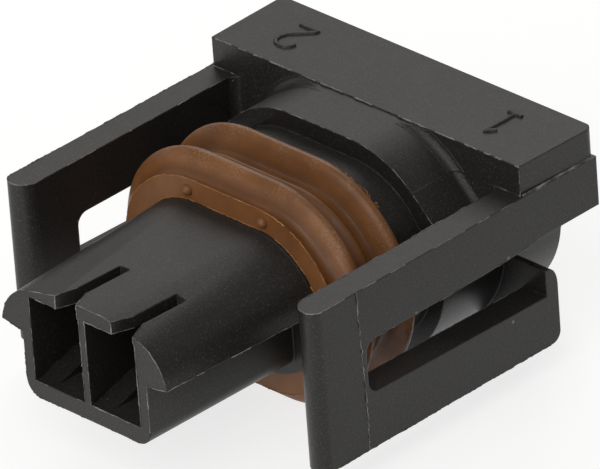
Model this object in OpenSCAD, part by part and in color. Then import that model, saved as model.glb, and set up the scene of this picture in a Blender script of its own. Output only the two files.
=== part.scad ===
// Sealed two-way plug with two side latch arms and a perimeter seal.
// Millimetres. X is across the arms, Y runs from the mating nose to the wire end, Z is up.

/* [Overall] */
// Width over the two latch arms
over_w = 27; // [24:0.5:32]
// Length from the nose front to the wire end
over_l = 31.5; // [30:0.1:34]

/* [Nose] */
// Depth of the nose front to the seal seat
nose_l = 12.4; // [11:0.1:12.8]
// Half width over the nose wings at the front
wing_front_hw = 7.14; // [6.6:0.02:7.5]
// Roof height above the axis at the front
roof_front = 4.28; // [4.1:0.02:4.7]
// Half width of the flat crown of the roof at the front
crown_hw = 2; // [1.5:0.1:3.4]
// Fall of the roof from its crown to the wings at the front
wing_drop = 0.48; // [0:0.02:0.7]
// Corner radius of the wings at the front
wing_front_r = 3.2; // [1.5:0.1:3.4]
// Height of the wing underside above the axis
wing_under = 0.6; // [0.4:0.02:0.8]
// Rise of the wing underside towards its tips
wing_tilt = 0.3; // [0:0.05:0.5]
// Thickness of the side walls of the nose box
box_wall = 0.78; // [0.5:0.02:1]
// Depth of the nose box below the axis at its front
box_drop = 3.76; // [3.5:0.02:4]
// Added depth of the nose box at the seal
box_taper = 0.14; // [0:0.02:0.3]
// Radius of the lower corners of the nose box
box_r = 1.1; // [0.4:0.1:1.6]
// Thickness of the nose box floor
floor_t = 1.16; // [0.8:0.02:1.3]

/* [Cavities] */
// Distance between the two cavity centres
cav_pitch = 4.85; // [4.6:0.05:5.2]
// Thickness of the wall between the cavities
divider_t = 0.5; // [0.4:0.02:0.9]
// Depth of the wide cavity mouths
mouth_d = 5; // [4.4:0.1:5.6]
// Thickness of the wall behind the mouths
stop_t = 0.6; // [0.4:0.1:1]
// Width of the contact entries in that wall
entry_w = 1.9; // [1.6:0.05:2.1]
// Reach of the contact entries into the mouths
entry_lead = 1; // [0.6:0.1:1.4]
// Thickness of the roof over the mouths
roof_t = 0.96; // [0.7:0.02:1.2]
// Distance of the closed end of each roof slot from the cavity centre
slot_x = 1.56; // [1.2:0.02:1.7]
// Width of each roof slot
slot_w = 0.86; // [0.6:0.02:1.1]
// Lean of each roof slot towards the cavity centre at its mouth
slot_lean = 0.5; // [0:0.02:0.7]
// Length of each roof slot
slot_l = 4.75; // [3:0.05:5.5]
// Reach of the straight chamfer at each slot mouth along the nose
slot_cham_l = 1.4; // [0.6:0.1:2]
// Widening of each slot mouth on its inner side
slot_cham_w = 0.42; // [0.1:0.02:0.8]
// Widening of each slot mouth on its outer side
slot_flare = 0.58; // [0.1:0.02:0.7]
// Width of the entry ramp on the cavity floor
ramp_w = 1.5; // [1:0.1:2.4]
// Width of the narrow ramp on the other side of the cavity
rail_w = 0.6; // [0.3:0.1:1]
// Distance from the nose front to the start of the ramps
ramp_y = 0.5; // [0.2:0.1:1]
// Length of the level end of the ramps
ramp_flat = 1.6; // [1:0.1:2.4]
// Rise of the entry ramps
ramp_h = 0.9; // [0.3:0.05:1]

/* [Seal seat and body] */
// Half width of the seal seat
seat_hw = 7.74; // [7.3:0.02:8]
// Half height of the seal seat
seat_r = 4.92; // [4.8:0.02:5.1]
// Height of the shoulder behind the seal
shoulder_h = 1.2; // [0.6:0.1:1.8]
// Distance from the nose front to the collar front
collar_y = 21.1; // [20.7:0.1:22]
// Half width of the rounded body behind the seal
body_hw = 10; // [9.6:0.02:10.06]
// Half height of the rounded body behind the seal
body_r = 7.4; // [7:0.02:7.42]
// Half width over the flat cheeks of the body
cheek_hw = 10.12; // [10.08:0.02:10.4]
// Height of the upper end of the flat cheeks above the axis
cheek_z = 2.9; // [2.4:0.1:3.1]
// Height of the lower end of the flat cheeks below the axis
cheek_low = 0.5; // [0.2:0.1:1]
// Height at which the cheeks run out into the body below the axis
cheek_end = 3.4; // [3:0.1:3.6]
// Concave rounding between the body and the bar
cheek_r = 0.6; // [0.2:0.1:0.9]
// Wall of the body round the wire end pocket
shell_t = 1.5; // [1:0.1:2]
// Depth of the wire end pocket
pocket_d = 5; // [3:0.1:6]

/* [Latch arms] */
// Thickness of each latch arm
arm_t = 2; // [1.6:0.05:2.4]
// Distance from the nose front to the arm tips
arm_y = 6.6; // [5.5:0.05:8]
// Top of the arms above the axis
arm_top = 5.42; // [5.1:0.02:5.8]
// Bottom of the arms below the axis
arm_bot = 5.8; // [5.4:0.05:6.2]
// Distance from the arm tip to the front of its window
win_gap = 4.2; // [3:0.1:5]
// Top of the window above the axis at its front
win_top = 1.64; // [1.4:0.02:1.8]
// Bottom of the window below the axis at its front
win_bot = 2; // [1.6:0.02:2.2]
// Fall of the window bottom towards the wire end
win_draft = 0.4; // [0:0.05:0.6]
// Rise of the window top from the collar to the wire end
win_rise = 0.4; // [0:0.05:0.6]
// Corner radius of the window
win_r = 0.8; // [0.3:0.1:1.2]
// Rounding of the arm tip on the inner side
tip_in_r = 1.2; // [0.7:0.1:1.2]
// Rounding of the arm tip on the outer side
tip_out_r = 0.75; // [0.2:0.05:0.8]
// Concave rounding between each arm and the bar
root_r = 0.8; // [0.3:0.1:1.2]

/* [Rear bar and cross plate] */
// Depth of the top bar along the connector
bar_l = 6.5; // [5:0.1:7.5]
// Distance of the bar rear from the wire end
bar_back = 0.1; // [0.05:0.05:1]
// Top of the bar above the axis
bar_top = 7.48; // [7.44:0.01:7.7]
// Underside of the bar above the axis
bar_bot = 2; // [1.8:0.05:2.6]
// Inward step of the bar ends above the arms at the front
bar_step = 0.22; // [0.1:0.02:0.5]
// Rounding of the rear corners of the bar
bar_r = 0.6; // [0.2:0.1:1]
// Thickness of the lower cross plate
plate_t = 1; // [0.9:0.1:1.4]
// Distance from the wire end to the back of the cross plate
plate_back = 4.1; // [3:0.05:5.5]
// Rounding of the rear edges of the cross plate
edge_r = 0.75; // [0.2:0.05:0.8]
// Height of the rounding on the upper rear edge of the cross plate
edge_h = 1.3; // [0.5:0.1:1.8]
// Top of the cross plate below the axis
plate_drop = 0.5; // [0.1:0.05:1]

/* [Perimeter seal] */
// Reach of the seal ribs beyond the body
rib_over = 0.28; // [0.1:0.02:0.5]
// Thickness of the seal between its ribs
web_t = 1.3; // [1:0.05:1.6]
// Front lip height of the seal
lip_h = 1.5; // [1.35:0.05:1.8]
// Distance from the seal front to its first rib
rib1_y = 1.57; // [1.3:0.01:1.8]
// Distance between the two ribs
rib_pitch = 3.6; // [3.2:0.05:3.9]
// Half thickness of a rib
rib_w = 0.68; // [0.5:0.02:0.8]
// Distance from the second rib to the rear of the seal
seal_tail = 0.95; // [0.85:0.05:1.3]
// Radius of the two small bumps on the seal front
bump_r = 0.38; // [0.2:0.02:0.5]
// Distance of the bumps from the middle
bump_x = 3.25; // [2:0.05:3.6]
// Height of the bumps above the seal seat
bump_z = 0.68; // [0.5:0.02:0.9]
// Clearance between the seal and its seat
seal_gap = 0.02; // [0.01:0.01:0.05]

/* [Wire end] */
// Radius of the two wire bores
bore_r = 1.95; // [1.8:0.05:2.05]
// Length of the wire bores
bore_l = 10; // [9.6:0.1:10.6]
// Clearance of the wire seals in the bores
plug_gap = 0.02; // [0.01:0.01:0.05]
// Radius of the hole through each wire seal
wire_r = 0.75; // [0.6:0.05:0.85]
// Length of the neck of each wire seal
neck_l = 2.1; // [1.9:0.1:2.6]
// Length of the ribbed part of each wire seal
plug_l = 4.8; // [3.5:0.1:5.5]
// Depth of the grooves between the ribs of each wire seal
plug_groove = 0.35; // [0.2:0.05:0.45]
// Clearance between the neck and the crimp round it
neck_gap = 0.04; // [0.02:0.01:0.08]

/* [Terminals] */
// Width of the terminal box
term_w = 2.4; // [2.2:0.05:2.5]
// Height of the terminal box
term_h = 2.8; // [2.6:0.05:2.9]
// Length of the terminal box
term_l = 7.2; // [6:0.1:8]
// Thickness of the terminal metal
term_t = 0.3; // [0.2:0.02:0.35]
// Length of the conductor crimp
wing_l = 2.8; // [2:0.1:3.2]
// Outer radius of the conductor crimp
wing_r = 1.15; // [0.9:0.05:1.2]
// Distance from the conductor crimp front to the seal crimp
crimp_gap = 4.2; // [4:0.1:4.6]
// Clearance between the terminal and its channel
term_gap = 0.05; // [0.03:0.01:0.08]
// Thickness of the contact spring
leaf_t = 0.18; // [0.12:0.02:0.22]
// Length of the contact spring
leaf_l = 6.4; // [5:0.1:6.5]
// Sag of the bowed leaf
leaf_sag = 0.75; // [0.4:0.05:1]
// Width of the contact spring
leaf_w = 1.6; // [1.2:0.1:1.7]
// Distance from the box front to the contact spring
leaf_y = 0.5; // [0.2:0.05:0.6]
// Length of the flat foot at the front of the spring
leaf_foot = 0.6; // [0.4:0.05:0.9]
// Length of the flat foot at the back of the spring
leaf_tail = 0.7; // [0.4:0.05:0.9]
// Half length of the flat top of the bow
leaf_flat = 0.4; // [0.2:0.05:0.8]
// Clearance between the spring and the roof of its box
leaf_gap = 0.02; // [0.01:0.01:0.05]
// Width of the window in the roof of the box
lance_w = 1.2; // [1:0.1:1.4]
// Length of that window
lance_l = 1.6; // [1.2:0.1:2.2]
// Distance of that window from the box front
lance_y = 2; // [1.5:0.1:2.8]
// Clearance of the channel's catch in that window
catch_gap = 0.1; // [0.05:0.05:0.2]
// Reach of the catch into the window
catch_drop = 0.3; // [0.2:0.02:0.34]
// Length of the flat end of the catch
catch_face = 0.2; // [0.1:0.05:0.4]
// Width of the strip that joins the box to its crimps
link_w = 1.6; // [1.2:0.1:1.8]
// Lap of that strip inside the box
link_lap = 0.5; // [0.3:0.05:0.8]
// Reach of that strip under the seal crimp
link_end = 0.3; // [0.2:0.05:0.5]
// Fall of the conductor crimp's wing tops below the box top
wing_low = 0.1; // [0.05:0.05:0.2]
// Length of the seal crimp
grip_l = 1.8; // [1.4:0.1:2]
// Height of the seal crimp's wing tops above the axis
grip_top = 1.15; // [0.9:0.05:1.3]
// Distance from the bore front to the seal crimp
grip_in = 0.2; // [0.1:0.05:0.3]
// Distance from the seal crimp front to the neck of the wire seal
neck_in = 0.5; // [0.4:0.05:0.7]

/* [Hidden] */
$fn = 72;
eps = 0.02;
rib_h = body_r + rib_over - seat_r;
axis_z = seat_r + rib_h;
arm_x = over_w / 2 - arm_t;
cav_x = cav_pitch / 2;
cav_w = cav_pitch - divider_t;
box_hw = cav_pitch - divider_t / 2 + box_wall;
cav_floor = floor_t - box_drop;
cav_ceil = roof_front - roof_t;
win_y = arm_y + win_gap;
bar_y1 = over_l - bar_back;
bar_y0 = bar_y1 - bar_l;
plate_y1 = over_l - plate_back;
plate_y0 = plate_y1 - plate_t;
seat_cx = seat_hw - seat_r;
crease_z = arm_top - 0.05;
crease_x = body_hw - body_r + sqrt(body_r * body_r - crease_z * crease_z) + 0.03;
seal_y = nose_l + 0.22;
seal_end = seal_y + rib1_y + rib_pitch + seal_tail;
term_y = mouth_d + stop_t + term_gap;
bore_y = over_l - bore_l;
neck_r = 1.1;
crimp_y = bore_y + grip_in;
neck_y = crimp_y + neck_in;
plug_y = neck_y + neck_l;
black = [0.09, 0.09, 0.1];
brown = [0.62, 0.4, 0.24];
metal = [0.78, 0.78, 0.76];
steel = [0.6, 0.62, 0.64];

// Extrudes an upright outline from y0 to y1
module along_y(y0, y1) {
  translate([0, y1, 0]) rotate([90, 0, 0]) linear_extrude(y1 - y0) children();
}

// Stadium outline with half width hw and half height r
module stadium(hw, r) {
  for (s = [-1, 1]) translate([s * (hw - r), 0]) circle(r);
  square([2 * (hw - r), 2 * r], center = true);
}

// Upper outline of the nose, cut at the wing underside
module wing_outline(hw, top, r) {
  intersection() {
    union() {
      for (s = [-1, 1]) translate([s * (hw - r), top - wing_drop - r]) circle(r);
      translate([-crown_hw, 0]) square([2 * crown_hw, top]);
    }
    wing_cut(hw);
  }
}

// Region above the slanting undersides of the wings, out to half width hw
module wing_cut(hw) {
  tip = wing_under + wing_tilt;
  polygon([[-hw, tip], [-box_hw, wing_under], [box_hw, wing_under], [hw, tip], [hw, seat_r], [-hw, seat_r]]);
}

// Lower box outline of the nose with rounded bottom corners
module box_outline(drop) {
  for (s = [-1, 1]) translate([s * (box_hw - box_r), box_r - drop]) circle(box_r);
  translate([-(box_hw - box_r), -drop]) square([2 * (box_hw - box_r), drop + wing_under + 1]);
  translate([-box_hw, box_r - drop]) square([2 * box_hw, drop - box_r + wing_under + 1]);
}

// Drafted nose: wings above, box below
module nose_solid() {
  hull() {
    along_y(0, 0.1) wing_outline(wing_front_hw, roof_front, wing_front_r);
    along_y(nose_l, nose_l + 0.1) intersection() {
      stadium(seat_hw - eps, seat_r - eps);
      wing_cut(seat_hw);
    }
  }
  hull() {
    along_y(0, 0.1) box_outline(box_drop);
    along_y(nose_l + 0.4, nose_l + 0.5) box_outline(box_drop + box_taper);
  }
}

// Floor ramps of one cavity mouth
module mouth_ramps() {
  for (r = [[-cav_w / 2 - eps, ramp_w + eps], [cav_w / 2 - rail_w, rail_w + eps]])
    translate([r[0], 0, cav_floor - eps])
      rotate([90, 0, 90]) linear_extrude(r[1])
        polygon([[ramp_y, 0], [mouth_d - ramp_flat, ramp_h], [mouth_d + eps, ramp_h], [mouth_d + eps, 0]]);
}

// One open cavity mouth
module mouth() {
  difference() {
    translate([-cav_w / 2, -1, cav_floor]) cube([cav_w, mouth_d + 1, cav_ceil - cav_floor]);
    mouth_ramps();
  }
}

// Centre of a roof slot at distance y from the nose front
function slot_c(y) = slot_x - slot_lean * (1 - y / slot_l);

// Plan of one leaning roof slot with its flared mouth
module slot_plan() {
  h = slot_w / 2;
  x0 = slot_c(0) - h - slot_cham_w;
  x1 = slot_c(0) + h + slot_flare;
  polygon([[slot_x - h, slot_l], [slot_c(slot_cham_l) - h, slot_cham_l], [x0, 0], [x0, -1],
           [x1, -1], [x1, 0], [slot_c(slot_cham_l) + h, slot_cham_l], [slot_x + h, slot_l]]);
}

// Catch in the roof of the terminal channel
module catch() {
  z = term_h / 2 + term_gap;
  w = lance_w - 2 * catch_gap;
  l = lance_l - 2 * catch_gap;
  translate([-w / 2, term_y + lance_y + catch_gap, 0]) rotate([90, 0, 90]) linear_extrude(w)
    polygon([[0, z + eps], [0, z - catch_drop], [catch_face, z - catch_drop], [l, z + eps]]);
}

// Contact entry, terminal channel and wire bore of one cavity
module passage() {
  translate([-entry_w / 2, mouth_d - entry_lead, -entry_w / 2])
    cube([entry_w, entry_lead + 2 * stop_t, entry_w]);
  difference() {
    translate([-term_w / 2 - term_gap, mouth_d + stop_t, -term_h / 2 - term_gap])
      cube([term_w + 2 * term_gap, bore_y - mouth_d, term_h + 2 * term_gap]);
    catch();
  }
  translate([0, bore_y, 0]) rotate([-90, 0, 0]) cylinder(h = bore_l + 1, r = bore_r);
  translate([0, over_l - 0.5, 0]) rotate([-90, 0, 0]) cylinder(h = 0.6, r1 = bore_r, r2 = bore_r + 0.6);
}

// Rounded body with the flat cheeks at its sides
module body_outline() {
  stadium(body_hw, body_r);
  for (s = [-1, 1])
    polygon([[0, crease_z], [s * crease_x, crease_z], [s * cheek_hw, cheek_z], [s * cheek_hw, -cheek_low],
             [s * (body_hw - 1), -cheek_end], [0, -cheek_end]]);
}

// Concave rounding between the right cheek and the front of the bar
module cheek_fillet() {
  a = atan2(crease_z - cheek_z, cheek_hw - crease_x);
  translate([crease_x, bar_y0, crease_z]) rotate([0, a, 0]) translate([0.1, 0, 0]) rotate([90, 0, 90])
    linear_extrude(norm([crease_z - cheek_z, cheek_hw - crease_x]) - 0.3)
      difference() {
        translate([-cheek_r, -0.3]) square([cheek_r + 0.3, cheek_r + 0.3]);
        translate([eps - cheek_r, cheek_r - eps]) circle(cheek_r);
      }
}

// Concave rounding between the curved body and the front of the bar on the right side
module body_fillet() {
  intersection() {
    translate([body_hw - body_r, bar_y0, 0]) rotate([90, 0, 0]) rotate_extrude()
      difference() {
        translate([body_r - 0.3, -0.3]) square([cheek_r + 0.3, cheek_r + 0.3]);
        translate([body_r + cheek_r, cheek_r]) circle(cheek_r - eps);
      }
    translate([body_hw - body_r, bar_y0 - 2 * cheek_r, crease_z])
      cube([body_r, 3 * cheek_r, body_r - eps - crease_z]);
  }
}

// Pocket round the two wire chimneys
module wire_pocket() {
  difference() {
    along_y(over_l - pocket_d, over_l + 1) stadium(body_hw - shell_t, body_r - shell_t);
    along_y(over_l - pocket_d - 1, over_l + 2) stadium(cav_x + bore_r + 0.9, bore_r + 0.9);
  }
}

// Plan of one arm with its rounded tip
module arm_plan(y1) {
  o = arm_x + arm_t;
  difference() {
    translate([arm_x, arm_y]) square([arm_t, y1 - arm_y]);
    difference() {
      translate([arm_x - 1, arm_y - 1]) square([tip_in_r + 1, tip_in_r + 1]);
      translate([arm_x + tip_in_r, arm_y + tip_in_r]) circle(tip_in_r);
    }
    difference() {
      translate([o - tip_out_r, arm_y - 1]) square([tip_out_r + 1, tip_out_r + 1]);
      translate([o - tip_out_r, arm_y + tip_out_r]) circle(tip_out_r);
    }
  }
}

// Window outline seen from the side, open to the rear
module window_side() {
  for (z = [win_r - win_bot, win_top - win_r]) translate([win_y + win_r, z]) circle(win_r);
  translate([win_y, win_r - win_bot]) square([2 * win_r, win_top + win_bot - 2 * win_r]);
  polygon([[win_y + win_r, -win_bot], [over_l, -win_bot - win_draft], [over_l, win_top + win_rise],
           [collar_y, win_top], [win_y + win_r, win_top]]);
}

// Concave rounding between the right arm and the front of the bar
module arm_root() {
  translate([arm_x, bar_y0, bar_bot + eps]) linear_extrude(arm_top - bar_bot - 2 * eps)
    difference() {
      translate([-root_r, -root_r]) square(root_r + 0.3);
      translate([eps - root_r, eps - root_r]) circle(root_r);
    }
}

// Side outline of one arm down to its foot at the cross plate
module arm_side() {
  difference() {
    translate([arm_y - 1, -arm_bot]) square([plate_y1 - arm_y + 1, arm_bot + arm_top]);
    window_side();
    translate([bar_y0 + 1, 0]) square([over_l, arm_top + 1]);
    difference() {
      translate([plate_y1 - edge_r, -arm_bot - 1]) square([2, 1 + edge_r]);
      translate([plate_y1 - edge_r, edge_r - arm_bot]) circle(edge_r);
    }
  }
}

// One latch arm on the right side
module latch_arm() {
  intersection() {
    translate([0, 0, -arm_bot - 1]) linear_extrude(arm_bot + arm_top + 2) arm_plan(over_l);
    translate([arm_x - 1, 0, 0]) rotate([90, 0, 90]) linear_extrude(arm_t + 2) arm_side();
  }
}

// Cross plate outline seen from the side, with its rounded rear edges
module plate_side() {
  y = plate_y1 - edge_r;
  difference() {
    translate([plate_y0, -arm_bot]) square([plate_t, arm_bot - plate_drop]);
    difference() {
      translate([y, -arm_bot - 1]) square([1, edge_r + 1]);
      translate([y, edge_r - arm_bot]) circle(edge_r);
    }
    difference() {
      translate([y, -plate_drop - edge_h]) square([1, edge_h + 1]);
      translate([y, -plate_drop - edge_h]) scale([1, edge_h / edge_r]) circle(edge_r);
    }
  }
}

// Plan of the upper bar with inset ends and rounded rear corners
module bar_plan() {
  x0 = over_w / 2 - bar_step;
  x1 = over_w / 2 - 0.08;
  for (s = [-1, 1]) translate([s * (x1 - bar_r), bar_y1 - bar_r]) circle(bar_r);
  polygon([[-x0, bar_y0], [x0, bar_y0], [x1, bar_y1 - bar_r], [x1 - bar_r, bar_y1], [bar_r - x1, bar_y1],
           [-x1, bar_y1 - bar_r]]);
}

// Top bar over the full width, stepped in above the arms
module top_bar() {
  translate([-over_w / 2, 0, 0]) rotate([90, 0, 90]) linear_extrude(over_w)
    translate([bar_y0, bar_bot]) square([bar_l, arm_top - bar_bot]);
  translate([0, 0, arm_top - 0.5]) linear_extrude(bar_top - arm_top + 0.5) bar_plan();
}

// Housing: one moulding with nose, seal seat, body, arms, bar and cross plate
module housing() {
  color(black) difference() {
    union() {
      nose_solid();
      along_y(nose_l, collar_y + 1) stadium(seat_hw, seat_r);
      along_y(seal_end + seal_gap, collar_y + 1) stadium(seat_hw + shoulder_h, seat_r + shoulder_h);
      along_y(collar_y, over_l) body_outline();
      top_bar();
      for (s = [0, 1]) mirror([s, 0, 0]) {
        latch_arm();
        arm_root();
        cheek_fillet();
        body_fillet();
      }
      translate([-over_w / 2, 0, 0]) rotate([90, 0, 90]) linear_extrude(over_w) plate_side();
    }
    for (s = [-1, 1]) translate([s * cav_x, 0, 0]) {
      mouth();
      passage();
      translate([0, 0, cav_ceil - roof_t / 2]) linear_extrude(seat_r - cav_ceil + roof_t) slot_plan();
    }
    wire_pocket();
  }
}

// Height of the seal above its seat at distance y from its front
function seal_h(y) = web_t
  + (lip_h - web_t) * exp(-pow(y / 0.35, 2))
  + (rib_h - web_t) * exp(-pow(abs(y - rib1_y) / rib_w, 3))
  + (rib_h - web_t) * exp(-pow(abs(y - rib1_y - rib_pitch) / rib_w, 3))
  + 0.28 * exp(-pow((y - rib1_y - 0.5 * rib_pitch) / 0.32, 2));

// Section of the seal, radius against distance from the seal front
module seal_section() {
  n = 44;
  l = seal_end - seal_y;
  polygon(concat([[seat_r + seal_gap, -l], [seat_r + seal_gap, 0]],
                 [for (i = [0 : n]) [seat_r + seal_h(l * i / n), -l * i / n]]));
}

// Perimeter seal: ring with two ribs and two small bumps on its front face
module interface_seal() {
  color(brown) union() {
    translate([0, seal_y, 0]) rotate([90, 0, 0]) {
      for (s = [0, 1]) mirror([s, 0, 0])
        translate([seat_cx, 0, 0]) rotate([0, 0, -90]) rotate_extrude(angle = 180) seal_section();
      for (s = [0, 1]) mirror([0, s, 0])
        translate([-seat_cx, 0, 0]) rotate([90, 0, 90]) linear_extrude(2 * seat_cx) seal_section();
    }
    for (s = [-1, 1]) translate([s * bump_x, seal_y, seat_r + bump_z]) sphere(r = bump_r, $fn = 32);
  }
}

// Socket terminal: hollow box, neck and two open crimp barrels
module terminal() {
  y1 = term_y + term_l;
  hw = term_w / 2;
  hh = term_h / 2;
  crimp_r = neck_r + neck_gap + term_t;
  color(metal) union() {
    difference() {
      translate([-hw, term_y, -hh]) cube([term_w, term_l, term_h]);
      translate([term_t - hw, term_y - term_t, term_t - hh])
        cube([term_w - 2 * term_t, term_l + 2 * term_t, term_h - 2 * term_t]);
      translate([-lance_w / 2, term_y + lance_y, hh - 2 * term_t]) cube([lance_w, lance_l, 4 * term_t]);
    }
    translate([-link_w / 2, y1 - link_lap, -hh]) cube([link_w, crimp_y + link_end + link_lap - y1, term_t]);
    crimp(crimp_y - crimp_gap, wing_l, wing_r, wing_r - hh, hh - wing_low);
    crimp(crimp_y, grip_l, crimp_r, 0, grip_top);
  }
}

// Open crimp barrel of outer radius r, centre height z and wing tops at height top
module crimp(y, l, r, z, top) {
  along_y(y, y + l) difference() {
    union() {
      translate([0, z]) circle(r);
      translate([-r, z]) square([2 * r, top - z]);
    }
    translate([0, z]) circle(r - term_t);
    translate([term_t - r, z]) square([2 * (r - term_t), 2 * r]);
  }
}

// Contact spring: bowed leaf under the roof of the terminal box
module contact_spring() {
  z = term_h / 2 - term_t - leaf_gap;
  y0 = term_y + leaf_y;
  y1 = term_y + leaf_l;
  ym = (y0 + y1) / 2;
  leaf = [[y0, 0], [y0 + leaf_foot, 0], [ym - leaf_flat, -leaf_sag], [ym + leaf_flat, -leaf_sag],
          [y1 - leaf_tail, 0], [y1, 0]];
  color(steel) translate([-leaf_w / 2, 0, 0]) rotate([90, 0, 90]) linear_extrude(leaf_w)
    polygon(concat([for (p = leaf) [p[0], z + p[1] - leaf_t]],
                   [for (i = [len(leaf) - 1 : -1 : 0]) [leaf[i][0], z + leaf[i][1]]]));
}

// Wire seal: neck, three ribs and a through hole
module wire_seal() {
  r0 = bore_r - plug_gap;
  r1 = r0 - plug_groove;
  p = plug_l / 3;
  color(brown) rotate([90, 0, 0]) rotate_extrude()
    polygon([[wire_r, -neck_y], [neck_r, -neck_y], [neck_r, -plug_y], [r1, -plug_y], [r0, -plug_y - 0.4 * p],
             [r1, -plug_y - p], [r0, -plug_y - 1.4 * p], [r1, -plug_y - 2 * p], [r0, -plug_y - 2.4 * p],
             [r1, -plug_y - 3 * p], [wire_r, -plug_y - 3 * p]]);
}

// Puts the local frame, with the nose front at zero and the axis at zero, into the part frame
module place(x) {
  translate([x, -over_l / 2, axis_z]) children();
}

place(0) housing();
place(0) interface_seal();
place(-cav_x) terminal();  // terminal_left
place(cav_x) terminal();  // terminal_right
place(-cav_x) contact_spring();  // contact_spring_left
place(cav_x) contact_spring();  // contact_spring_right
place(-cav_x) wire_seal();  // wire_seal_left
place(cav_x) wire_seal();  // wire_seal_right
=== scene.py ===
import bpy
import math
from mathutils import Matrix, Vector, noise


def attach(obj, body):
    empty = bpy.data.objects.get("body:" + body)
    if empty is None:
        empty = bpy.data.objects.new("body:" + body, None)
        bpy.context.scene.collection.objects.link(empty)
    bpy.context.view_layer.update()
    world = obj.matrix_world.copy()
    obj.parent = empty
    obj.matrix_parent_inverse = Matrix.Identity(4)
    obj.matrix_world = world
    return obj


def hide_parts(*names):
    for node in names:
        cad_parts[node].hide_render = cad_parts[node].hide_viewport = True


print("loading the packed frame")
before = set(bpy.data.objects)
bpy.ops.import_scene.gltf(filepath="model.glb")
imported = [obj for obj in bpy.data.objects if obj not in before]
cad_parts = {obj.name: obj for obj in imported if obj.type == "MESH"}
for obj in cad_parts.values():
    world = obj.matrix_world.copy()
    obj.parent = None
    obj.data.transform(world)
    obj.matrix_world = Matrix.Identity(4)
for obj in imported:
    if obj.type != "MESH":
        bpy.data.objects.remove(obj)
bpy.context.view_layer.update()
mm = 0.001


def deselectAll():
    if bpy.context.object and bpy.context.object.mode != "OBJECT":
        bpy.ops.object.mode_set(mode="OBJECT")
    bpy.ops.object.select_all(action="DESELECT")


def pickOnly(piece):
    deselectAll()
    piece.select_set(True)
    bpy.context.view_layer.objects.active = piece


def newMaterial(name):
    material = bpy.data.materials.new(name)
    material.use_nodes = True
    tree = material.node_tree
    tree.nodes.clear()
    output = tree.nodes.new("ShaderNodeOutputMaterial")
    shader = tree.nodes.new("ShaderNodeBsdfPrincipled")
    place = tree.nodes.new("ShaderNodeTexCoord")
    tree.links.new(shader.outputs["BSDF"], output.inputs["Surface"])
    return material, tree, shader, place.outputs["Object"]


def addNoise(tree, place, scale, detail, rough=0.5):
    node = tree.nodes.new("ShaderNodeTexNoise")
    node.inputs["Scale"].default_value = scale
    node.inputs["Detail"].default_value = detail
    node.inputs["Roughness"].default_value = rough
    tree.links.new(place, node.inputs["Vector"])
    return node.outputs["Fac"]


def addRange(tree, value, low, high, toLow=0.0, toHigh=1.0):
    node = tree.nodes.new("ShaderNodeMapRange")
    node.inputs["From Min"].default_value = low
    node.inputs["From Max"].default_value = high
    node.inputs["To Min"].default_value = toLow
    node.inputs["To Max"].default_value = toHigh
    tree.links.new(value, node.inputs["Value"])
    return node.outputs["Result"]


def addMath(tree, operation, first, second):
    node = tree.nodes.new("ShaderNodeMath")
    node.operation = operation
    for socket, value in zip(node.inputs, (first, second)):
        if isinstance(value, bpy.types.NodeSocket):
            tree.links.new(value, socket)
        else:
            socket.default_value = value
    return node.outputs["Value"]


def addMix(tree, factor, first, second):
    node = tree.nodes.new("ShaderNodeMix")
    node.data_type = "RGBA"
    tree.links.new(factor, node.inputs["Factor"])
    for socket, colour in ((node.inputs["A"], first), (node.inputs["B"], second)):
        if isinstance(colour, bpy.types.NodeSocket):
            tree.links.new(colour, socket)
        else:
            socket.default_value = (*colour, 1.0)
    return node.outputs["Result"]


def addBump(tree, height, strength, distance, under=None):
    node = tree.nodes.new("ShaderNodeBump")
    node.inputs["Strength"].default_value = strength
    node.inputs["Distance"].default_value = distance
    tree.links.new(height, node.inputs["Height"])
    if under is not None:
        tree.links.new(under, node.inputs["Normal"])
    return node.outputs["Normal"]


def addSpecks(tree, place, scale, radius, share):  # small dots in a few of the cells
    node = tree.nodes.new("ShaderNodeTexVoronoi")
    node.inputs["Scale"].default_value = scale
    tree.links.new(place, node.inputs["Vector"])
    dot = addRange(tree, node.outputs["Distance"], radius * 0.6, radius, 1.0, 0.0)
    split = tree.nodes.new("ShaderNodeSeparateColor")
    tree.links.new(node.outputs["Color"], split.inputs["Color"])
    chosen = addMath(tree, "LESS_THAN", split.outputs["Red"], share)
    return addMath(tree, "MULTIPLY", dot, chosen)


def addRoundedEdge(tree, radius):
    node = tree.nodes.new("ShaderNodeBevel")
    node.samples = 6
    node.inputs["Radius"].default_value = radius
    return node.outputs["Normal"]


def addEdgeMask(tree, rounded, low, high):
    geometry = tree.nodes.new("ShaderNodeNewGeometry")
    dot = tree.nodes.new("ShaderNodeVectorMath")
    dot.operation = "DOT_PRODUCT"
    tree.links.new(rounded, dot.inputs[0])
    tree.links.new(geometry.outputs["Normal"], dot.inputs[1])
    return addRange(tree, dot.outputs["Value"], low, high, 1.0, 0.0)


# noise values are scale, detail and roughness; bump values are strength and depth
nylon = {
    "dark": (0.0195, 0.0175, 0.0163),
    "light": (0.0265, 0.024, 0.0223),
    # painted shade: the darker colour given to upright faces
    "side": (0.0172, 0.0153, 0.0143),
    "worn": (0.11, 0.108, 0.1),
    "stipple": (0.07, 0.068, 0.065),
    "dust": (0.2, 0.2, 0.19),
    "cloud": (240.0, 4.0, 0.6),
    "grain": (8000.0, 3.0, 0.7),
    "scuff": (1700.0, 4.0, 0.6),
    "patch": (1400.0, 4.0),
    "swell": (2600.0, 2.0),
    "grainBump": (0.6, 0.03 * mm),
    "swellBump": (0.3, 0.02 * mm),
    "fineDust": (1500.0, 0.08, 0.022),  # scale, dot radius and share of the cells
    "coarseDust": (520.0, 0.07, 0.05),
    "wear": 0.5,
    "roughTop": 0.43,
    "roughSide": 0.34,
    "roughSpread": 0.03,
    "specular": 0.34,
    "edgeRadius": 0.14 * mm,
}


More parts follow.
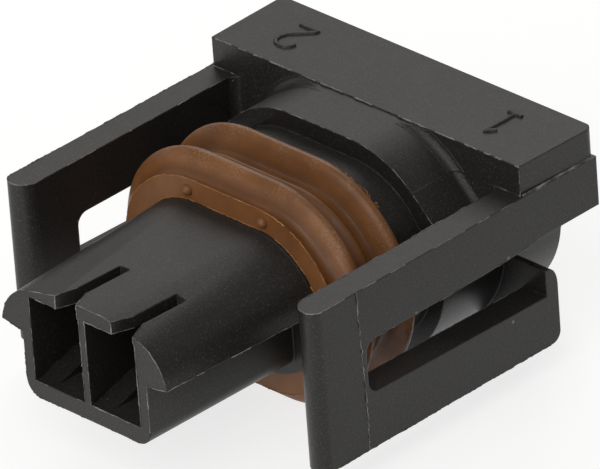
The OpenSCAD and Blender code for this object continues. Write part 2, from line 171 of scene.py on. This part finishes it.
def addLevel(tree):  # 1 on faces that lie flat, 0 on upright ones
    facing = tree.nodes.new("ShaderNodeNewGeometry")
    split = tree.nodes.new("ShaderNodeSeparateXYZ")
    tree.links.new(facing.outputs["Normal"], split.inputs["Vector"])
    return addMath(tree, "ABSOLUTE", split.outputs["Z"], 0.0)


def mouldedNylon():
    material, tree, shader, place = newMaterial("mouldedNylon")
    cloud = addRange(tree, addNoise(tree, place, *nylon["cloud"]), 0.3, 0.75)
    colour = addMix(tree, cloud, nylon["dark"], nylon["light"])
    level = addLevel(tree)  # the mould is eroded matt on its flat faces, and upright faces get a painted shade
    # painted shade: upright faces take the darker side colour
    colour = addMix(tree, addRange(tree, level, 0.2, 0.8), nylon["side"], colour)
    grain = addNoise(tree, place, *nylon["grain"])
    colour = addMix(tree, addRange(tree, grain, 0.54, 0.72), colour, nylon["stipple"])
    rounded = addRoundedEdge(tree, nylon["edgeRadius"])
    edge = addEdgeMask(tree, rounded, 0.78, 0.97)
    scuff = addRange(tree, addNoise(tree, place, *nylon["scuff"]), 0.46, 0.62)
    wear = addMath(tree, "MULTIPLY", addMath(tree, "MULTIPLY", edge, scuff), nylon["wear"])
    colour = addMix(tree, wear, colour, nylon["worn"])
    dust = addMath(
        tree, "MAXIMUM",
        addSpecks(tree, place, *nylon["fineDust"]),
        addSpecks(tree, place, *nylon["coarseDust"]),
    )
    colour = addMix(tree, dust, colour, nylon["dust"])
    tree.links.new(colour, shader.inputs["Base Color"])
    patch = addRange(tree, addNoise(tree, place, *nylon["patch"]), 0.3, 0.75, 0.0, nylon["roughSpread"])
    matt = addRange(tree, level, 0.5, 0.95, nylon["roughSide"], nylon["roughTop"])
    tree.links.new(addMath(tree, "ADD", matt, patch), shader.inputs["Roughness"])
    shader.inputs["Specular IOR Level"].default_value = nylon["specular"]
    normal = addBump(tree, grain, *nylon["grainBump"], rounded)
    normal = addBump(tree, addNoise(tree, place, *nylon["swell"]), *nylon["swellBump"], normal)
    tree.links.new(normal, shader.inputs["Normal"])
    return material


thin = {
    "dark": (0.06, 0.058, 0.054),
    "pale": (0.3, 0.29, 0.27),
    "patch": (900.0, 4.0, 0.6),
    "swell": (5200.0, 3.0),
    "swellBump": (0.5, 0.02 * mm),
    "roughness": 0.4,
    "specular": 0.5,
}


def thinNylon():  # flash along the mould's closing lines
    material, tree, shader, place = newMaterial("thinNylon")
    patch = addRange(tree, addNoise(tree, place, *thin["patch"]), 0.4, 0.66)
    colour = addMix(tree, patch, thin["dark"], thin["pale"])
    tree.links.new(colour, shader.inputs["Base Color"])
    shader.inputs["Roughness"].default_value = thin["roughness"]
    shader.inputs["Specular IOR Level"].default_value = thin["specular"]
    normal = addBump(tree, addNoise(tree, place, *thin["swell"]), *thin["swellBump"])
    tree.links.new(normal, shader.inputs["Normal"])
    return material


silicone = {
    "deep": (0.15, 0.058, 0.0165),
    "pale": (0.222, 0.09, 0.028),
    # speckled bloom, also used as a painted highlight on the rib crests
    "bloomAndCrestSheen": (0.42, 0.235, 0.13),
    # painted shade: the dark colour laid along the hollows of the seal
    "hollow": (0.0675, 0.0261, 0.007425),
    "cloud": (300.0, 4.0),
    "speckle": (9000.0, 3.0, 0.7),
    "patch": (420.0, 3.0),
    "matt": (700.0, 3.0),
    "swell": (4600.0, 3.0),
    "wave": (520.0, 2.0),
    "swellBump": (0.35, 0.02 * mm),
    "waveBump": (0.3, 0.06 * mm),
    "hollowBump": (0.8, -0.08 * mm),
    "crestAt": (-1.56 * mm, 2.04 * mm),
    "crestHalf": 0.75 * mm,
    "hollowAt": (-2.35 * mm, 1.12 * mm),
    "hollowHalf": 0.3 * mm,
    "roughness": (0.35, 0.53),
    "specular": 0.4,
}


def addBand(tree, along, centre, half):  # 1 at the centre, 0 half away from it
    offset = addMath(tree, "ABSOLUTE", addMath(tree, "SUBTRACT", along, centre), 0.0)
    return addRange(tree, offset, 0.0, half, 1.0, 0.0)


def addBands(tree, along, centres, half):
    first, second = (addBand(tree, along, centre, half) for centre in centres)
    return addMath(tree, "MAXIMUM", first, second)


def siliconeRubber():
    material, tree, shader, place = newMaterial("siliconeRubber")
    split = tree.nodes.new("ShaderNodeSeparateXYZ")
    tree.links.new(place, split.inputs["Vector"])
    along = split.outputs["Y"]
    cloud = addRange(tree, addNoise(tree, place, *silicone["cloud"]), 0.35, 0.68)
    colour = addMix(tree, cloud, silicone["deep"], silicone["pale"])
    # speckled bloom, strongest on the rib crests as a painted highlight
    crest = addBands(tree, along, silicone["crestAt"], silicone["crestHalf"])
    speckle = addRange(tree, addNoise(tree, place, *silicone["speckle"]), 0.47, 0.66)
    patch = addRange(tree, addNoise(tree, place, *silicone["patch"]), 0.38, 0.62)
    bloomAndCrestSheen = addMath(tree, "MULTIPLY", speckle, patch)
    bloomAndCrestSheen = addMath(tree, "MULTIPLY", bloomAndCrestSheen, addRange(tree, crest, 0.0, 1.0, 0.12, 0.9))
    colour = addMix(tree, bloomAndCrestSheen, colour, silicone["bloomAndCrestSheen"])
    # painted shade darkens each hollow band, which is also dented by a bump
    hollow = addBands(tree, along, silicone["hollowAt"], silicone["hollowHalf"])
    colour = addMix(tree, addRange(tree, hollow, 0.2, 1.0, 0.0, 0.5), colour, silicone["hollow"])
    tree.links.new(colour, shader.inputs["Base Color"])
    matt = addRange(tree, addNoise(tree, place, *silicone["matt"]), 0.3, 0.7, *silicone["roughness"])
    tree.links.new(matt, shader.inputs["Roughness"])
    shader.inputs["Specular IOR Level"].default_value = silicone["specular"]
    normal = addBump(tree, addNoise(tree, place, *silicone["swell"]), *silicone["swellBump"])
    normal = addBump(tree, addNoise(tree, place, *silicone["wave"]), *silicone["waveBump"], normal)
    normal = addBump(tree, hollow, *silicone["hollowBump"], normal)
    tree.links.new(normal, shader.inputs["Normal"])
    return material


thinRubber = {
    "dark": (0.26, 0.105, 0.03),
    "pale": (0.48, 0.22, 0.07),
    "patch": (900.0, 4.0, 0.6),
    "swell": (5200.0, 3.0),
    "swellBump": (0.4, 0.02 * mm),
    "roughness": 0.42,
    "glow": 0.15,
    "glowDepth": 0.2 * mm,
}


def thinSilicone():  # flash left on the seal
    material, tree, shader, place = newMaterial("thinSilicone")
    patch = addRange(tree, addNoise(tree, place, *thinRubber["patch"]), 0.4, 0.66)
    colour = addMix(tree, patch, thinRubber["dark"], thinRubber["pale"])
    tree.links.new(colour, shader.inputs["Base Color"])
    shader.inputs["Roughness"].default_value = thinRubber["roughness"]
    shader.inputs["Subsurface Weight"].default_value = thinRubber["glow"]
    shader.inputs["Subsurface Scale"].default_value = thinRubber["glowDepth"]
    normal = addBump(tree, addNoise(tree, place, *thinRubber["swell"]), *thinRubber["swellBump"])
    tree.links.new(normal, shader.inputs["Normal"])
    return material


wireSeal = {
    "deep": (0.13, 0.05, 0.02),
    "pale": (0.2, 0.085, 0.035),
    "cloud": (500.0, 4.0),
    "matt": (900.0, 3.0),
    "swell": (3800.0, 3.0),
    "swellBump": (0.35, 0.02 * mm),
    "roughness": (0.4, 0.54),
    "edgeRadius": 0.12 * mm,
}


def wireSealRubber():
    material, tree, shader, place = newMaterial("wireSealRubber")
    cloud = addRange(tree, addNoise(tree, place, *wireSeal["cloud"]), 0.35, 0.68)
    tree.links.new(addMix(tree, cloud, wireSeal["deep"], wireSeal["pale"]), shader.inputs["Base Color"])
    matt = addRange(tree, addNoise(tree, place, *wireSeal["matt"]), 0.3, 0.7, *wireSeal["roughness"])
    tree.links.new(matt, shader.inputs["Roughness"])
    rounded = addRoundedEdge(tree, wireSeal["edgeRadius"])
    normal = addBump(tree, addNoise(tree, place, *wireSeal["swell"]), *wireSeal["swellBump"], rounded)
    tree.links.new(normal, shader.inputs["Normal"])
    return material


tin = {
    "bright": (0.56, 0.55, 0.52),
    "dull": (0.4, 0.39, 0.37),
    "copper": (0.5, 0.33, 0.2),
    "cloud": (700.0, 4.0),
    "bare": (1500.0, 3.0),
    "matt": (1200.0, 4.0),
    "swell": (4200.0, 3.0),
    "swellBump": (0.3, 0.01 * mm),
    "bareShare": 0.8,
    "roughness": (0.24, 0.42),
    "edgeRadius": 0.06 * mm,
}


def tinPlating():
    material, tree, shader, place = newMaterial("tinPlating")
    cloud = addRange(tree, addNoise(tree, place, *tin["cloud"]), 0.35, 0.7)
    colour = addMix(tree, cloud, tin["bright"], tin["dull"])
    rounded = addRoundedEdge(tree, tin["edgeRadius"])
    edge = addEdgeMask(tree, rounded, 0.75, 0.95)
    bare = addRange(tree, addNoise(tree, place, *tin["bare"]), 0.5, 0.62, 0.0, tin["bareShare"])
    colour = addMix(tree, addMath(tree, "MULTIPLY", edge, bare), colour, tin["copper"])
    tree.links.new(colour, shader.inputs["Base Color"])
    shader.inputs["Metallic"].default_value = 1.0
    matt = addRange(tree, addNoise(tree, place, *tin["matt"]), 0.3, 0.7, *tin["roughness"])
    tree.links.new(matt, shader.inputs["Roughness"])
    normal = addBump(tree, addNoise(tree, place, *tin["swell"]), *tin["swellBump"], rounded)
    tree.links.new(normal, shader.inputs["Normal"])
    return material


steel = {
    "bright": (0.45, 0.45, 0.46),
    "blue": (0.33, 0.34, 0.37),
    "cloud": (600.0, 3.0),
    "marks": (6000.0, 3.0, 0.6),
    "marksStretch": (1.0, 0.12, 1.0),
    "marksBump": (0.25, 0.01 * mm),
    "roughness": (0.2, 0.36),
    "edgeRadius": 0.05 * mm,
}


def springSteel():
    material, tree, shader, place = newMaterial("springSteel")
    stretch = tree.nodes.new("ShaderNodeMapping")
    stretch.inputs["Scale"].default_value = steel["marksStretch"]  # rolling marks run along the strip
    tree.links.new(place, stretch.inputs["Vector"])
    marks = addNoise(tree, stretch.outputs["Vector"], *steel["marks"])
    cloud = addRange(tree, addNoise(tree, place, *steel["cloud"]), 0.35, 0.7)
    tree.links.new(addMix(tree, cloud, steel["bright"], steel["blue"]), shader.inputs["Base Color"])
    shader.inputs["Metallic"].default_value = 1.0
    tree.links.new(addRange(tree, marks, 0.3, 0.7, *steel["roughness"]), shader.inputs["Roughness"])
    rounded = addRoundedEdge(tree, steel["edgeRadius"])
    tree.links.new(addBump(tree, marks, *steel["marksBump"], rounded), shader.inputs["Normal"])
    return material


print("making the finishes")
nylonFinish = mouldedNylon()
flashFinish = thinNylon()
siliconeFinish = siliconeRubber()
sealFlashFinish = thinSilicone()
wireSealFinish = wireSealRubber()
tinFinish = tinPlating()
steelFinish = springSteel()


def giveFinish(nodeName, finish):
    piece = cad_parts[nodeName]
    if not piece.material_slots:
        piece.data.materials.append(finish)
    for holder in piece.material_slots:
        holder.material = finish


for side in ("left", "right"):
    giveFinish("terminal_" + side, tinFinish)
    giveFinish("contact_spring_" + side, steelFinish)
    giveFinish("wire_seal_" + side, wireSealFinish)


def mouldedCopy(nodeName, pieceName, smoothAngle, finish):
    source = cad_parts[nodeName]
    piece = source.copy()
    piece.data = source.data.copy()
    piece.name = pieceName
    bpy.context.scene.collection.objects.link(piece)
    pickOnly(piece)
    bpy.ops.object.mode_set(mode="EDIT")
    bpy.ops.mesh.select_all(action="SELECT")
    bpy.ops.mesh.remove_doubles(threshold=0.000002)
    bpy.ops.mesh.customdata_custom_splitnormals_clear()
    bpy.ops.object.mode_set(mode="OBJECT")
    bpy.ops.object.shade_smooth_by_angle(angle=math.radians(smoothAngle))
    piece.data.materials.clear()
    piece.data.materials.append(finish)
    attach(piece, "root")
    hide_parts(nodeName)
    return piece


print("copying the housing and its seal")
housingShell = mouldedCopy("housing", "housingShell", 28, nylonFinish)
sealRing = mouldedCopy("interface_seal", "sealRing", 40, siliconeFinish)


def outerEdges(mesh):  # edges whose two faces turn away from each other
    sides = {}
    for face in mesh.polygons:
        for key in face.edge_keys:
            sides.setdefault(key, []).append(face)
    outer = set()
    for key, faces in sides.items():
        if len(faces) == 2 and faces[0].normal.dot(faces[1].center - faces[0].center) < 0:
            outer.add(key)
    return outer


def sharpLines(source, name, low, high, kind="outer"):  # edges of a piece that lie in a box, left loose
    pickOnly(source)
    bpy.ops.object.duplicate()
    lines = bpy.context.object
    lines.name = name
    for key in [k for k in lines.keys() if k.startswith("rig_")]:
        del lines[key]
    lines.parent = None
    lowest, highest = Vector(low) * mm, Vector(high) * mm
    outer = outerEdges(lines.data)
    points = lines.data.vertices
    keep = []
    for edge in lines.data.edges:
        ends = [points[v].co for v in edge.vertices]
        inside = all(all(lowest[k] <= end[k] <= highest[k] for k in range(3)) for end in ends)
        if kind == "ring":
            keep.append(inside and abs(ends[0].y - ends[1].y) < 0.001 * mm)
        else:
            keep.append(inside and edge.use_edge_sharp and (kind == "any" or edge.key in outer))
    bpy.ops.object.mode_set(mode="EDIT")
    bpy.ops.mesh.select_mode(type="EDGE")
    bpy.ops.mesh.select_all(action="SELECT")
    bpy.ops.mesh.delete(type="ONLY_FACE")
    bpy.ops.mesh.select_all(action="DESELECT")
    bpy.ops.object.mode_set(mode="OBJECT")
    for edge, kept in zip(lines.data.edges, keep):
        edge.select = not kept
    bpy.ops.object.mode_set(mode="EDIT")
    bpy.ops.mesh.delete(type="EDGE")
    bpy.ops.mesh.select_all(action="SELECT")
    bpy.ops.mesh.delete_loose(use_verts=True, use_edges=False, use_faces=False)
    bpy.ops.object.mode_set(mode="OBJECT")
    return lines


def cutShort(lines, step):  # every edge is halved until none is longer than the step
    pickOnly(lines)
    bpy.ops.object.mode_set(mode="EDIT")
    bpy.ops.mesh.select_mode(type="EDGE")
    for turn in range(9):
        bpy.ops.mesh.select_all(action="DESELECT")
        bpy.ops.object.mode_set(mode="OBJECT")
        points = lines.data.vertices
        for edge in lines.data.edges:
            edge.select = (points[edge.vertices[0]].co - points[edge.vertices[1]].co).length > step
        bpy.ops.object.mode_set(mode="EDIT")
        bpy.ops.mesh.subdivide(number_cuts=1)
    bpy.ops.object.mode_set(mode="OBJECT")


def dropPoints(lines, stays, size, seed):  # leaves gaps, so that a line comes and goes
    pickOnly(lines)
    bpy.ops.object.mode_set(mode="EDIT")
    bpy.ops.mesh.select_mode(type="VERT")
    bpy.ops.mesh.select_all(action="DESELECT")
    bpy.ops.object.mode_set(mode="OBJECT")
    for point in lines.data.vertices:
        patch = noise.noise(point.co / size + Vector((seed, 0, 0)))
        point.select = patch > stays
    bpy.ops.object.mode_set(mode="EDIT")
    bpy.ops.mesh.delete(type="VERT")
    bpy.ops.object.mode_set(mode="OBJECT")


def beadOn(lines, radius, wander, seed, uneven=0.6):  # loose edges become a thin bead of uneven thickness
    pickOnly(lines)
    bpy.ops.object.mode_set(mode="EDIT")
    bpy.ops.mesh.select_all(action="SELECT")
    bpy.ops.transform.vertex_random(offset=wander, uniform=1.0, normal=0.0, seed=seed)
    bpy.ops.object.mode_set(mode="OBJECT")
    bpy.ops.object.convert(target="CURVE")
    strand = bpy.context.object
    for spline in strand.data.splines:
        for point in spline.points:
            wobble = noise.noise(Vector(point.co[:3]) / (0.35 * mm) + Vector((0, seed, 0)))
            point.radius = 1.0 - 0.4 * uneven + uneven * wobble
    strand.data.bevel_depth = radius
    strand.data.bevel_resolution = 1
    strand.data.use_fill_caps = True
    bpy.ops.object.convert(target="MESH")
    return bpy.context.object


def joinPieces(pieces, name, finish):
    deselectAll()
    for piece in pieces:
        piece.select_set(True)
    bpy.context.view_layer.objects.active = pieces[0]
    if len(pieces) > 1:
        bpy.ops.object.join()
    whole = bpy.context.object
    whole.name = name
    bpy.ops.object.shade_smooth_by_angle(angle=math.radians(50))
    whole.data.materials.clear()
    whole.data.materials.append(finish)
    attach(whole, "root")
    return whole


flash = {
    "step": 0.16 * mm,
    "wander": 0.02 * mm,
    "gapSize": 0.9 * mm,
    # low and high corner of a box round the edges in mm, bead radius in mm,
    # and how much of the line stays: 0 keeps about half of it, 0.6 all of it
    "lines": (
        ((-3.3, -15.76, 5.02), (9, -15.74, 16), 0.042, 0.45),  # nose front
        ((-9, -15.76, 5.02), (-3.3, -15.74, 16), 0.03, 0.05),  # its left end
        ((-9, -15.76, 0), (9, -15.74, 5.1), 0.024, -0.05),  # its lower corners
        ((11.4, -9.2, 13.0), (13.6, -8.1, 13.2), 0.045, 0.5),  # top rims of the arm tips
        ((-13.6, -9.2, 13.0), (-11.4, -8.1, 13.2), 0.04, 0.3),
        ((-5, -15.8, 10.9), (5, -14.2, 12.3), 0.034, 0.3),  # mouths of the roof slots
        ((7, -15.8, 8.5), (7.8, -3.3, 8.65), 0.042, 0.4),  # lower edges of the wings
        ((-7.8, -15.8, 8.5), (-7, -3.3, 8.65), 0.042, 0.4),
        ((-13.4, 9.1, 15.1), (13.4, 9.2, 15.2), 0.05, 0.12),  # front edge of the bar
        ((13.2, 9.1, 13.0), (13.4, 9.2, 15.2), 0.03, 0.1),  # its right corner
        ((-10.5, 5.3, 9), (10.5, 5.4, 15.2), 0.03, 0.1),  # collar front
        ((13.45, -9.2, 13.0), (13.55, 15.7, 13.2), 0.03, 0.05),  # outer top edges of the arms
        ((-13.55, -9.2, 13.0), (-13.45, 15.7, 13.2), 0.03, 0.05),
        ((11.45, -9.2, 13.0), (11.55, 9.2, 13.2), 0.026, 0.0),  # inner top edges of the arms
        ((-11.55, -9.2, 13.0), (-11.45, 9.2, 13.2), 0.026, 0.0),
        ((13.45, -9.2, 1.8), (13.55, 15.7, 2.0), 0.03, 0.15),  # outer bottom edges of the arms
        ((-13.55, -9.2, 1.8), (-13.45, 15.7, 2.0), 0.03, 0.15),
        ((11.4, -5, 5.3), (11.6, 10.7, 5.75), 0.034, 0.5),  # right window, inner bottom edge
        ((13.4, -5, 9.2), (13.6, 10.2, 9.6), 0.026, 0.0),  # right window, outer top edge
    ),
    "burrs": (
        ((11.4, 9.1, 13.0), (13.4, 9.2, 13.2), 0.06, 0.1),
        ((-13.4, 9.1, 13.0), (-11.4, 9.2, 13.2), 0.06, 0.1),
    ),
}


def mouldFlash():
    beads = []
    spots = [(spot, "outer") for spot in flash["lines"]] + [(spot, "any") for spot in flash["burrs"]]
    for seed, ((low, high, radius, stays), kind) in enumerate(spots):
        lines = sharpLines(housingShell, "flashLine", low, high, kind)
        cutShort(lines, flash["step"])
        dropPoints(lines, stays, flash["gapSize"], seed)
        beads.append(beadOn(lines, radius * mm, flash["wander"], seed))
    return joinPieces(beads, "mouldFlash", flashFinish)


print("adding flash along the mould's closing lines")
mouldFlash()


def drawnLine(name, points):  # a point pulled along a path, in mm
    deselectAll()
    bpy.ops.mesh.primitive_plane_add(size=0.1 * mm, location=Vector(points[0]) * mm)
    line = bpy.context.object
    line.name = name
    bpy.ops.object.mode_set(mode="EDIT")
    bpy.ops.mesh.select_mode(type="VERT")
    bpy.ops.mesh.select_all(action="SELECT")
    bpy.ops.mesh.merge(type="CENTER")
    for here, there in zip(points, points[1:]):
        step = (Vector(there) - Vector(here)) * mm
        bpy.ops.mesh.extrude_vertices_move(TRANSFORM_OT_translate={"value": tuple(step)})
    bpy.ops.object.mode_set(mode="OBJECT")
    bpy.ops.object.transform_apply(location=True, rotation=True, scale=True)
    return line


parting = {
    "out": 13.51,
    "top": (-5.5, 13.08),
    "middle": (-5.24, 6.4),
    "bottom": (-5.24, 1.9),
    "radius": 0.042 * mm,
    "wander": 0.055 * mm,
    "step": 0.24 * mm,
    "firstSeed": 30,
}


def partingLines():  # where two halves of the mould met on each arm
    strands = []
    for seed, side in enumerate((-1, 1)):
        path = [(side * parting["out"], *parting[spot]) for spot in ("top", "middle", "bottom")]
        line = drawnLine("partingLine", path)
        cutShort(line, parting["step"])
        strands.append(beadOn(line, parting["radius"], parting["wander"], parting["firstSeed"] + seed))
    return joinPieces(strands, "partingLines", flashFinish)


barSeam = {
    "path": ((13.39, 9.25, 13.13), (13.39, 15.55, 13.13)),
    "radius": 0.1 * mm,
    "wander": 0.015 * mm,
    "uneven": 0.2,
    "step": 0.24 * mm,
    "firstSeed": 40,
}


def barSeams():  # fills the step where the bar sits back from the arm's outer face
    strands = []
    for seed, side in enumerate((-1, 1)):
        path = [(side * across, along, up) for across, along, up in barSeam["path"]]
        line = drawnLine("barSeam", path)
        cutShort(line, barSeam["step"])
        seed = barSeam["firstSeed"] + seed
        strands.append(beadOn(line, barSeam["radius"], barSeam["wander"], seed, barSeam["uneven"]))
    return joinPieces(strands, "barSeams", flashFinish)


print("adding the parting lines and cavity numbers")
partingLines()
barSeams()

numbers = {
    "top": 15.14,
    "height": 2.7,
    "width": 1.6,
    "stroke": 0.19 * mm,
    "wander": 0.012 * mm,
    "uneven": 0.15,
    "step": 0.2 * mm,
    "seed": 50,
    "centres": {"1": (8.7, 12.4), "2": (-9.1, 12.3)},
    # across and up, as shares of the width and height
    "strokes": {
        "1": (((0.25, 0.78), (0.55, 1.0), (0.55, 0.0)), ((0.2, 0.0), (0.9, 0.0))),
        "2": (
            (
                (0.02, 0.76), (0.08, 0.89), (0.24, 0.98), (0.48, 1.0), (0.74, 0.97), (0.92, 0.86),
                (0.98, 0.7), (0.9, 0.54), (0.7, 0.4), (0.4, 0.24), (0.12, 0.08), (0.04, 0.0), (1.0, 0.0),
            ),
        ),
    },
}


def cavityNumbers():  # raised on the bar, read from the wire end
    strokes = []
    for digit, (acrossAt, alongAt) in numbers["centres"].items():
        for path in numbers["strokes"][digit]:
            points = [
                (
                    acrossAt - (u - 0.5) * numbers["width"],
                    alongAt - (v - 0.5) * numbers["height"],
                    numbers["top"],
                )
                for u, v in path
            ]
            line = drawnLine("numberStroke", points)
            cutShort(line, numbers["step"])
            bead = beadOn(line, numbers["stroke"], numbers["wander"], numbers["seed"], numbers["uneven"])
            strokes.append(bead)
    return joinPieces(strokes, "cavityNumbers", nylonFinish)


cavityNumbers()

sealFlash = {
    "step": 0.14 * mm,
    "gapSize": 1.1 * mm,
    "firstSeed": 70,
    "axis": (0, 0, 7.68 * mm),
    # low corner, high corner, kind of edge, growth, bead radius, wander and how much stays
    "lines": {
        "lip": ((-9, -3.2, 0), (9, -3.05, 16), "outer", 1.0, 0.034, 0.025, 0.35),
        "rag": ((-2, 2.5, 9), (9, 2.63, 16), "ring", 1.015, 0.05, 0.13, -0.05),
        "ragFar": ((-9, 2.5, 0), (-3, 2.63, 9), "ring", 1.01, 0.04, 0.1, -0.1),
    },
}


def sealRags():
    rags = []
    for seed, values in enumerate(sealFlash["lines"].values()):
        low, high, kind, growth, radius, wander, stays = values
        lines = sharpLines(sealRing, "sealLine", low, high, kind)
        cutShort(lines, sealFlash["step"])
        dropPoints(lines, stays, sealFlash["gapSize"], sealFlash["firstSeed"] + seed)
        pickOnly(lines)
        bpy.ops.object.mode_set(mode="EDIT")
        bpy.ops.mesh.select_all(action="SELECT")
        bpy.ops.transform.resize(value=(growth, 1, growth), center_override=sealFlash["axis"])
        rags.append(beadOn(lines, radius * mm, wander * mm, sealFlash["firstSeed"] + seed))
    return joinPieces(rags, "sealRags", sealFlashFinish)


print("adding the seal's flash")
sealRags()

studio = {
    "floorSize": 4.0,
    "floorRoughness": 0.75,
    "floorColour": (0.8, 0.8, 0.8),
    "floorSeen": (0.32, 0.32, 0.32),  # with the glow this reads white, and a shadow stays pale
    "floorGlow": 0.765,
    "worldLevel": 0.3,
    "worldColour": (1.0, 0.985, 0.965, 1.0),
    "lampColour": (1.0, 0.98, 0.955),
    "lamps": {  # place, aim, size, power
        "backSoftbox": ((-0.2, 0.22, 0.24), (0, 0, 0), 0.26, 0.32),
        "frontSoftbox": ((0.1, -0.38, 0.36), (0, 0, 0), 0.5, 1.4),
        "lowStrip": ((-0.01, -0.45, 0.03), (0, 0, 0.006), 0.1, 0.3),
    },
}


def addFloor():
    deselectAll()
    bpy.ops.mesh.primitive_plane_add(size=studio["floorSize"], location=(0, 0, -0.01 * mm))
    floor = bpy.context.object
    floor.name = "floor"
    material, tree, shader, place = newMaterial("floorPaint")
    shader.inputs["Roughness"].default_value = studio["floorRoughness"]
    path = tree.nodes.new("ShaderNodeLightPath")
    seen = addMath(tree, "MAXIMUM", path.outputs["Is Camera Ray"], path.outputs["Is Glossy Ray"])
    seen = addMath(tree, "MAXIMUM", seen, path.outputs["Is Transmission Ray"])
    colour = addMix(tree, seen, studio["floorColour"], studio["floorSeen"])
    tree.links.new(colour, shader.inputs["Base Color"])
    shader.inputs["Emission Color"].default_value = (1, 1, 1, 1)
    tree.links.new(addMath(tree, "MULTIPLY", seen, studio["floorGlow"]), shader.inputs["Emission Strength"])
    floor.data.materials.append(material)


def addWorld():
    world = bpy.data.worlds.new("studioWorld")
    bpy.context.scene.world = world
    world.use_nodes = True
    background = world.node_tree.nodes["Background"]
    background.inputs["Color"].default_value = studio["worldColour"]
    background.inputs["Strength"].default_value = studio["worldLevel"]


def addLamp(name, place, aim, size, power):
    deselectAll()
    bpy.ops.object.light_add(type="AREA", location=place)
    lamp = bpy.context.object
    lamp.name = name
    lamp.data.shape = "SQUARE"
    lamp.data.size = size
    lamp.data.energy = power
    lamp.data.color = studio["lampColour"]
    direction = Vector(aim) - Vector(place)
    lamp.rotation_euler = direction.to_track_quat("-Z", "Y").to_euler()
    return lamp


print("setting the floor, lamps and camera")
addFloor()
addWorld()
for lampName, (place, aim, size, power) in studio["lamps"].items():
    addLamp(lampName, place, aim, size, power)

view = {
    "azimuth": 46.82,
    "elevation": 29.866,
    "roll": -4.343,
    "distance": 0.733889,
    "target": (0.006079, -0.00275, 0.013265),
    "lens": 723.14,
}


def addCamera():
    turn, lift, roll = (math.radians(view[k]) for k in ("azimuth", "elevation", "roll"))
    back = Vector((math.sin(turn) * math.cos(lift), -math.cos(turn) * math.cos(lift), math.sin(lift)))
    right = Vector((math.cos(turn), math.sin(turn), 0))
    up = back.cross(right)
    rolledRight = math.cos(roll) * right + math.sin(roll) * up
    rolledUp = -math.sin(roll) * right + math.cos(roll) * up
    deselectAll()
    bpy.ops.object.camera_add()
    camera = bpy.context.object
    camera.name = "productCamera"
    turned = Matrix((rolledRight, rolledUp, back)).transposed().to_4x4()
    camera.matrix_world = Matrix.Translation(Vector(view["target"]) + back * view["distance"]) @ turned
    camera.data.lens = view["lens"]
    camera.data.sensor_width = 36
    camera.data.clip_start = 0.01
    camera.data.clip_end = 10
    bpy.context.scene.camera = camera


addCamera()
bpy.context.scene.view_settings.view_transform = "Standard"
